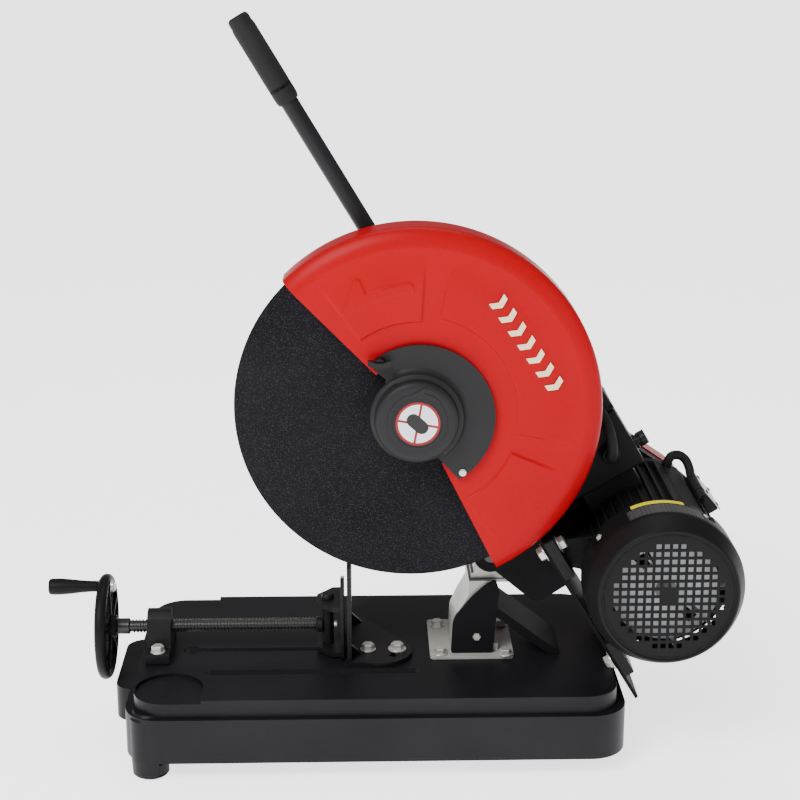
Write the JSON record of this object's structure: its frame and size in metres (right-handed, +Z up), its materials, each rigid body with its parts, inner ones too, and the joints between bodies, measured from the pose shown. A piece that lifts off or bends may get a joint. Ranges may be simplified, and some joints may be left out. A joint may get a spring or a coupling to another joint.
{
  "type": "abrasive chop saw",
  "caption": "Belt-driven abrasive chop saw with a rocking arm, a guarded disc, a pull handle and a screw vise on a pressed-steel base.",
  "frame": {"origin": "on the floor under the middle of the saw's bounding box", "axes": "+X from the vise handwheel towards the motor, +Y away from the side with the hub cover and the fan grille, +Z up"},
  "size_m": [0.803, 0.328, 0.8545],
  "materials": {
    "black_paint": "satin black paint",
    "red_paint": "glossy red paint",
    "grey_paint": "light grey plating",
    "dark_cover": "matte dark grey paint",
    "cast_black": "painted casting",
    "steel": "bright zinc and machined steel",
    "aluminium": "plain casting",
    "black_plastic": "moulded",
    "rubber": "matte",
    "abrasive": "coarse resin-bonded grit",
    "core_steel": "laminated and machined"
  },
  "bodies": {
    "base": {"base_frame": "black_paint", "foot_front": "rubber", "foot_rear": "rubber", "wheel_axle": "steel", "pedestal": "grey_paint", "pedestal_bolt_1": "steel", "pedestal_bolt_2": "steel", "pedestal_bolt_3": "steel", "pedestal_bolt_4": "steel", "arm_stop": "black_paint", "stop_bolt": "steel", "pivot_yoke": "black_paint", "screw_bracket": "cast_black", "screw_bracket_bolt_1": "steel", "screw_bracket_bolt_2": "steel", "fixed_jaw_pivot_bolt": "steel", "fixed_jaw_lock_bolt": "steel"},
    "arm": {"rocking_arm": "black_paint", "pivot_shaft": "steel", "spindle_housing": "black_paint", "spindle_bearing_front": "steel", "spindle_bearing_rear": "steel", "handle_tube": "black_paint", "handle_grip": "rubber", "disc_guard": "red_paint", "hub_hinge_screw": "steel", "motor_housing": "aluminium", "stator_core": "core_steel", "drive_end_bell": "aluminium", "fan_cowl": "black_plastic", "terminal_box": "black_plastic", "terminal_box_lid": "black_plastic", "motor_lead": "rubber", "motor_conduit": "rubber", "drive_belt_front": "rubber", "drive_belt_rear": "rubber", "belt_case_back": "red_paint", "belt_cover": "red_paint"},
    "spindle": {"spindle_shaft": "steel", "inner_flange": "steel", "outer_flange": "steel", "spindle_nut": "steel", "cutting_disc": "abrasive", "spindle_pulley": "aluminium"},
    "rotor": {"motor_rotor": "core_steel", "cooling_fan": "black_plastic", "motor_pulley": "aluminium"},
    "hub_cover": {"hub_cover": "dark_cover"},
    "hub_wing_nut": {"hub_wing_nut": "black_plastic"},
    "switch_knob": {"switch_knob": "black_plastic"},
    "jaw_carriage": {"jaw_pin": "steel", "screw_block": "steel"},
    "screw": {"vise_screw": "steel", "handwheel": "black_plastic", "crank_pin": "steel"},
    "crank_grip": {"crank_grip": "black_plastic"},
    "moving_jaw": {"moving_jaw": "black_paint"},
    "fixed_jaw": {"fixed_jaw": "black_paint"},
    "wheel_front": {"wheel_front": "black_plastic"},
    "wheel_rear": {"wheel_rear": "black_plastic"}
  },
  "joints": [
    {"name": "arm_swing", "type": "hinge", "parent": "base", "child": "arm", "pos_m": [0.1225, 0.006, 0.229], "axis": [0, -1, 0], "range_deg": [0, 46]},
    {"name": "spindle_spin", "type": "hinge", "parent": "arm", "child": "spindle", "pos_m": [0.0285, -0.074, 0.42], "axis": [0, -1, 0], "continuous": true},
    {"name": "rotor_spin", "type": "hinge", "parent": "arm", "child": "rotor", "pos_m": [0.3115, -0.074, 0.225], "axis": [0, -1, 0], "continuous": true},
    {"name": "hub_cover_swing", "type": "hinge", "parent": "arm", "child": "hub_cover", "pos_m": [0.0842, -0.103, 0.3528], "axis": [0, -1, 0], "range_deg": [-100, 0]},
    {"name": "wing_nut_turn", "type": "hinge", "parent": "arm", "child": "hub_wing_nut", "pos_m": [-0.0085, -0.104, 0.4807], "axis": [0, -1, 0], "range_deg": [0, 720]},
    {"name": "switch_turn", "type": "hinge", "parent": "arm", "child": "switch_knob", "pos_m": [0.29787, -0.008, 0.3603], "axis": [0.8572, 0, 0.515], "range_deg": [0, 60]},
    {"name": "jaw_slide", "type": "slide", "parent": "base", "child": "jaw_carriage", "axis": [1, 0, 0], "range_m": [-0.15, 0]},
    {"name": "screw_turn", "type": "hinge", "parent": "jaw_carriage", "child": "screw", "pos_m": [-0.1715, -0.01, 0.1305], "axis": [1, 0, 0], "range_deg": [-13500, 0]},
    {"name": "crank_grip_spin", "type": "hinge", "parent": "screw", "child": "crank_grip", "pos_m": [-0.3715, -0.01, 0.182], "axis": [1, 0, 0], "continuous": true},
    {"name": "moving_jaw_swivel", "type": "hinge", "parent": "jaw_carriage", "child": "moving_jaw", "pos_m": [-0.0705, -0.01, 0.13], "axis": [0, 0, 1], "range_deg": [-2.5, 2.5]},
    {"name": "fixed_jaw_angle", "type": "hinge", "parent": "base", "child": "fixed_jaw", "pos_m": [-0.0225, -0.025, 0.098], "axis": [0, 0, 1], "range_deg": [-8, 0]},
    {"name": "wheel_front_roll", "type": "hinge", "parent": "base", "child": "wheel_front", "pos_m": [0.2245, -0.08, 0.032], "axis": [0, 1, 0], "continuous": true},
    {"name": "wheel_rear_roll", "type": "hinge", "parent": "base", "child": "wheel_rear", "pos_m": [0.2245, 0.088, 0.032], "axis": [0, 1, 0], "continuous": true}
  ],
  "couplings": [
    {"joint": "rotor_spin", "follows": "spindle_spin", "ratio": 1.2766},
    {"joint": "jaw_slide", "follows": "screw_turn", "m_per_rad": 0.00063662}
  ]
}
